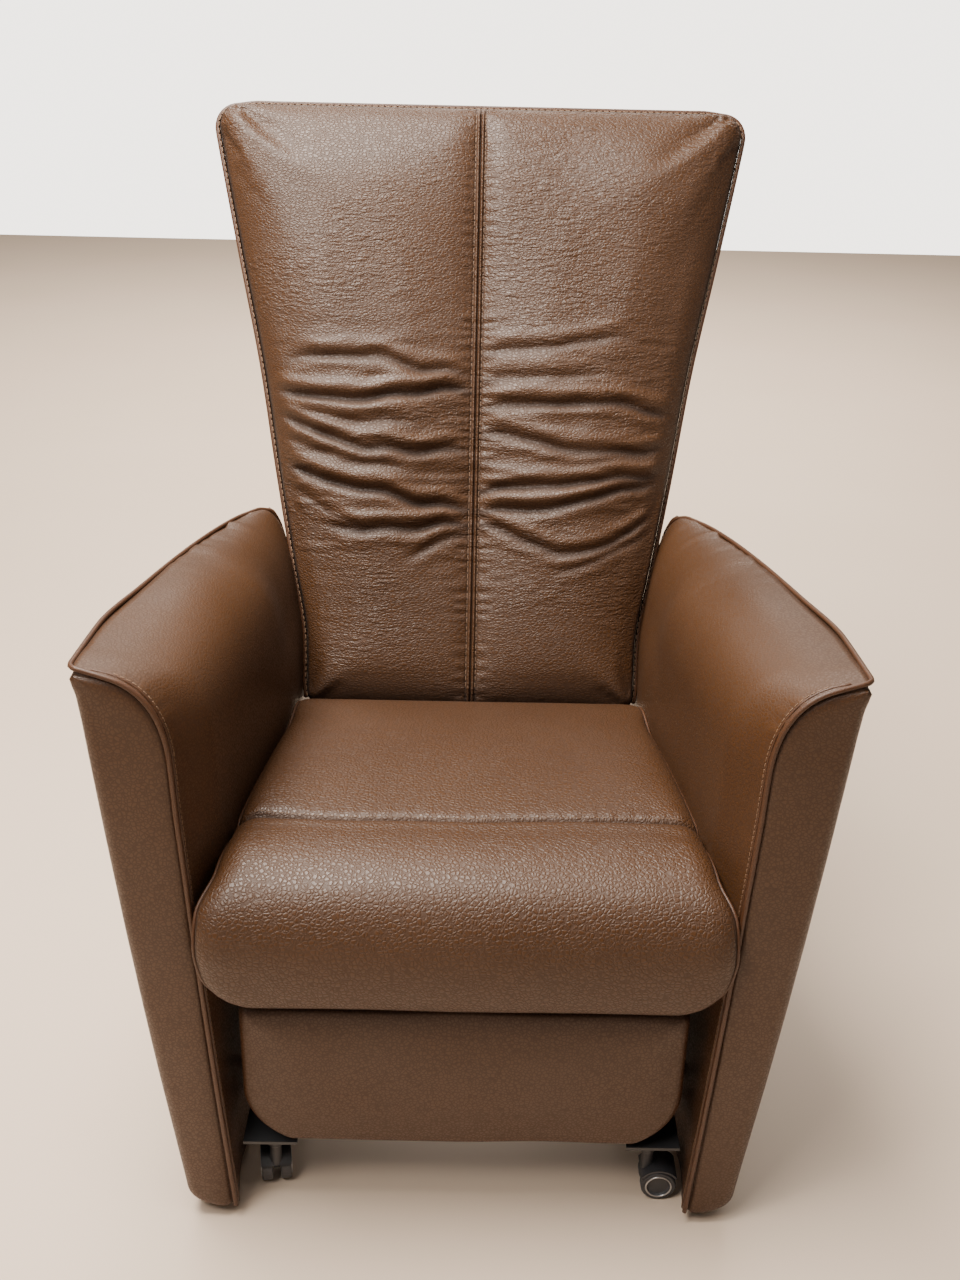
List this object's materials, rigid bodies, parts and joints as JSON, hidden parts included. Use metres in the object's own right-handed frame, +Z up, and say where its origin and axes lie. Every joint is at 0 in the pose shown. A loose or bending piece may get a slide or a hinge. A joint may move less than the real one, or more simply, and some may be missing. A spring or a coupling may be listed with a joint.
{
  "type": "recliner armchair",
  "caption": "Leather recliner armchair: tall flared backrest, tapered arms close to the floor, waterfall seat, pull-out footrest under the seat, recline mechanism and swivel castors.",
  "frame": {"origin": "on the floor, at the middle of the chair's width and depth with the backrest in its upright position", "axes": "+Z up, the chair faces -Y, +X to the viewer's right when looking at the front"},
  "size_m": [0.773, 0.9053, 1.1543],
  "materials": {
    "leather": "satin",
    "frame_steel": "satin",
    "zinc_steel": "satin",
    "plywood": "matte",
    "spring_mat": "matte",
    "nylon": "satin"
  },
  "bodies": {
    "base": {"base_rail_left": "frame_steel", "base_rail_right": "frame_steel", "base_cross_front": "frame_steel", "base_cross_rear": "frame_steel", "castor_plate_front_left": "frame_steel", "castor_plate_front_right": "frame_steel", "castor_plate_rear_left": "frame_steel", "castor_plate_rear_right": "frame_steel", "arm_pad_left": "leather", "arm_pad_right": "leather", "arm_core_left": "plywood", "arm_core_right": "plywood", "arm_bolt_front_left": "zinc_steel", "arm_bolt_front_right": "zinc_steel", "arm_bolt_rear_left": "zinc_steel", "arm_bolt_rear_right": "zinc_steel", "side_plate_left": "frame_steel", "side_plate_right": "frame_steel", "pivot_bolt_left": "zinc_steel", "pivot_bolt_right": "zinc_steel", "mechanism_cross_tube": "frame_steel", "gas_spring_anchor": "frame_steel", "gas_spring_cylinder": "frame_steel"},
    "seat": {"seat_rail_left": "frame_steel", "seat_rail_right": "frame_steel", "seat_guide_front_left": "nylon", "seat_guide_front_right": "nylon", "seat_guide_rear_left": "nylon", "seat_guide_rear_right": "nylon", "seat_front_rail": "frame_steel", "seat_rear_rail": "frame_steel", "seat_spring_mat": "spring_mat", "seat_cushion": "leather", "seat_front_roll": "leather", "footrest_channel_left": "frame_steel", "footrest_channel_right": "frame_steel"},
    "backrest": {"back_cushion": "leather", "back_shell": "leather", "back_frame_hoop": "frame_steel", "back_hinge_arm_left": "frame_steel", "back_hinge_arm_right": "frame_steel", "recline_tube": "frame_steel", "recline_lever": "frame_steel"},
    "gas_spring_piston": {"gas_spring_rod": "zinc_steel"},
    "footrest_carriage": {"footrest_runner_left": "zinc_steel", "footrest_runner_right": "zinc_steel", "footrest_hinge_rod": "zinc_steel"},
    "footrest": {"footrest_pad": "leather", "footrest_board": "plywood", "footrest_bracket_left": "frame_steel", "footrest_bracket_right": "frame_steel"},
    "release": {"release_lever": "nylon"},
    "castor_front_left": {"castor_fork_front_left": "nylon"},
    "wheels_front_left": {"castor_wheels_front_left": "nylon"},
    "castor_front_right": {"castor_fork_front_right": "nylon"},
    "wheels_front_right": {"castor_wheels_front_right": "nylon"},
    "castor_rear_left": {"castor_fork_rear_left": "nylon"},
    "wheels_rear_left": {"castor_wheels_rear_left": "nylon"},
    "castor_rear_right": {"castor_fork_rear_right": "nylon"},
    "wheels_rear_right": {"castor_wheels_rear_right": "nylon"}
  },
  "joints": [
    {"name": "back_recline", "type": "hinge", "parent": "base", "child": "backrest", "pos_m": [0, 0.0883, 0.36], "axis": [-1, 0, 0], "range_deg": [0, 40]},
    {"name": "seat_glide", "type": "slide", "parent": "base", "child": "seat", "axis": [0, -0.9903, 0.1392], "range_m": [0, 0.0501]},
    {"name": "gas_spring_stroke", "type": "slide", "parent": "base", "child": "gas_spring_piston", "axis": [0, -1, 0], "range_m": [0, 0.0686]},
    {"name": "footrest_slide", "type": "slide", "parent": "seat", "child": "footrest_carriage", "axis": [0, -0.9903, 0.1392], "range_m": [0, 0.24]},
    {"name": "footrest_tilt", "type": "hinge", "parent": "footrest_carriage", "child": "footrest", "pos_m": [0, -0.3317, 0.275], "axis": [-1, 0, 0], "range_deg": [0, 85.1]},
    {"name": "release_lever_lift", "type": "hinge", "parent": "base", "child": "release", "pos_m": [-0.37, -0.1917, 0.42], "axis": [-1, 0, 0], "range_deg": [0, 25], "stiffness_Nm_per_rad": 1, "springref_deg": -20.05},
    {"name": "castor_swivel_front_left", "type": "hinge", "parent": "base", "child": "castor_front_left", "pos_m": [-0.22, -0.3717, 0.09], "axis": [0, 0, 1], "continuous": true},
    {"name": "castor_roll_front_left", "type": "hinge", "parent": "castor_front_left", "child": "wheels_front_left", "pos_m": [-0.22243, -0.35791, 0.02082], "axis": [-0.9848, -0.1736, 0], "continuous": true},
    {"name": "castor_swivel_front_right", "type": "hinge", "parent": "base", "child": "castor_front_right", "pos_m": [0.22, -0.3717, 0.09], "axis": [0, 0, 1], "continuous": true},
    {"name": "castor_roll_front_right", "type": "hinge", "parent": "castor_front_right", "child": "wheels_front_right", "pos_m": [0.234, -0.3717, 0.02082], "axis": [0, 1, 0], "continuous": true},
    {"name": "castor_swivel_rear_left", "type": "hinge", "parent": "base", "child": "castor_rear_left", "pos_m": [-0.185, 0.1333, 0.09], "axis": [0, 0, 1], "continuous": true},
    {"name": "castor_roll_rear_left", "type": "hinge", "parent": "castor_rear_left", "child": "wheels_rear_left", "pos_m": [-0.18743, 0.14709, 0.02082], "axis": [-0.9848, -0.1736, 0], "continuous": true},
    {"name": "castor_swivel_rear_right", "type": "hinge", "parent": "base", "child": "castor_rear_right", "pos_m": [0.185, 0.1333, 0.09], "axis": [0, 0, 1], "continuous": true},
    {"name": "castor_roll_rear_right", "type": "hinge", "parent": "castor_rear_right", "child": "wheels_rear_right", "pos_m": [0.18743, 0.14709, 0.02082], "axis": [-0.9848, 0.1736, 0], "continuous": true}
  ],
  "couplings": [
    {"joint": "seat_glide", "follows": "back_recline", "m_per_rad": 0.07162},
    {"joint": "gas_spring_stroke", "follows": "back_recline", "m_per_rad": 0.09801},
    {"joint": "footrest_tilt", "follows": "footrest_slide", "rad_per_m": 6.1814}
  ]
}
